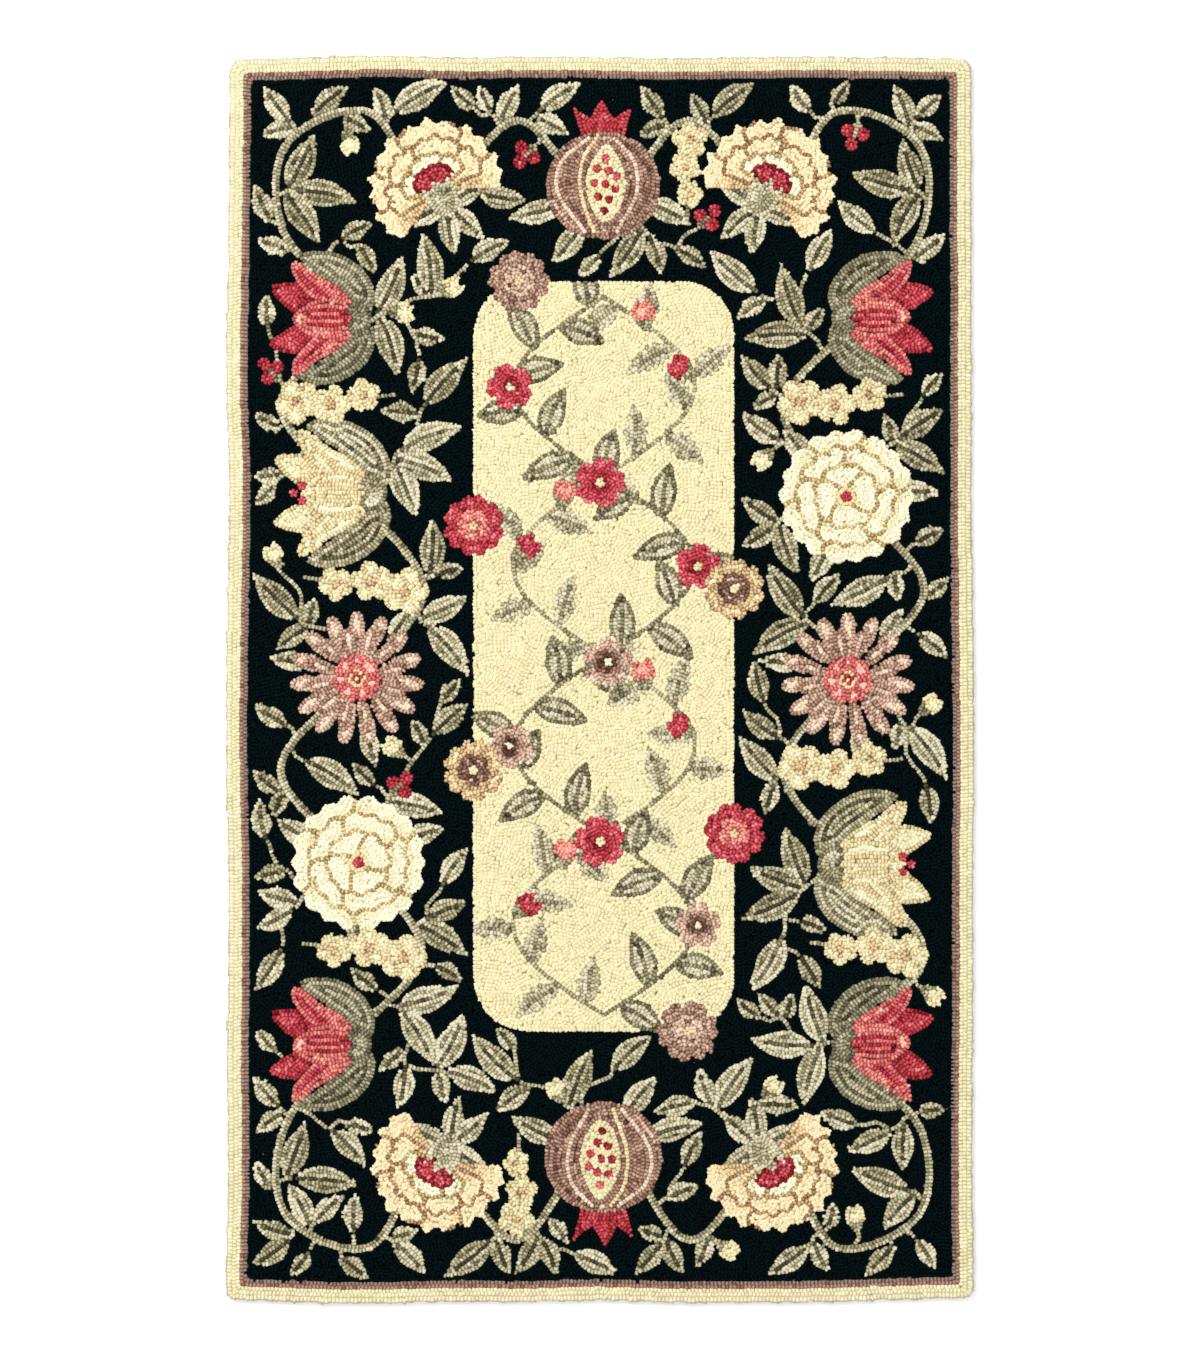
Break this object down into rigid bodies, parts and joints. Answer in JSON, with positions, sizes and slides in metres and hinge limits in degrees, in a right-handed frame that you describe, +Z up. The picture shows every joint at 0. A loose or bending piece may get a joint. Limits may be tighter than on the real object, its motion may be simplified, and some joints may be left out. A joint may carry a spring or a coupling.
{
  "type": "hooked rug",
  "caption": "Flat rectangular hooked rug in wool loops: cream rows round the rim, a mauve line, a dark leafy border and a cream rounded centre panel.",
  "frame": {"origin": "middle of the bounding box seen from above, on the floor under the rug", "axes": "+X to the right of the rug as it is looked down on, +Y along its length, +Z up out of the pile"},
  "size_m": [0.9194, 1.535, 0.01],
  "materials": {
    "wool": "matte looped wool pile, heathered, near-black ground with cream, mauve, sage, rose and gold"
  },
  "bodies": {
    "root": {"hooked_rug": "wool"}
  },
  "joints": []
}
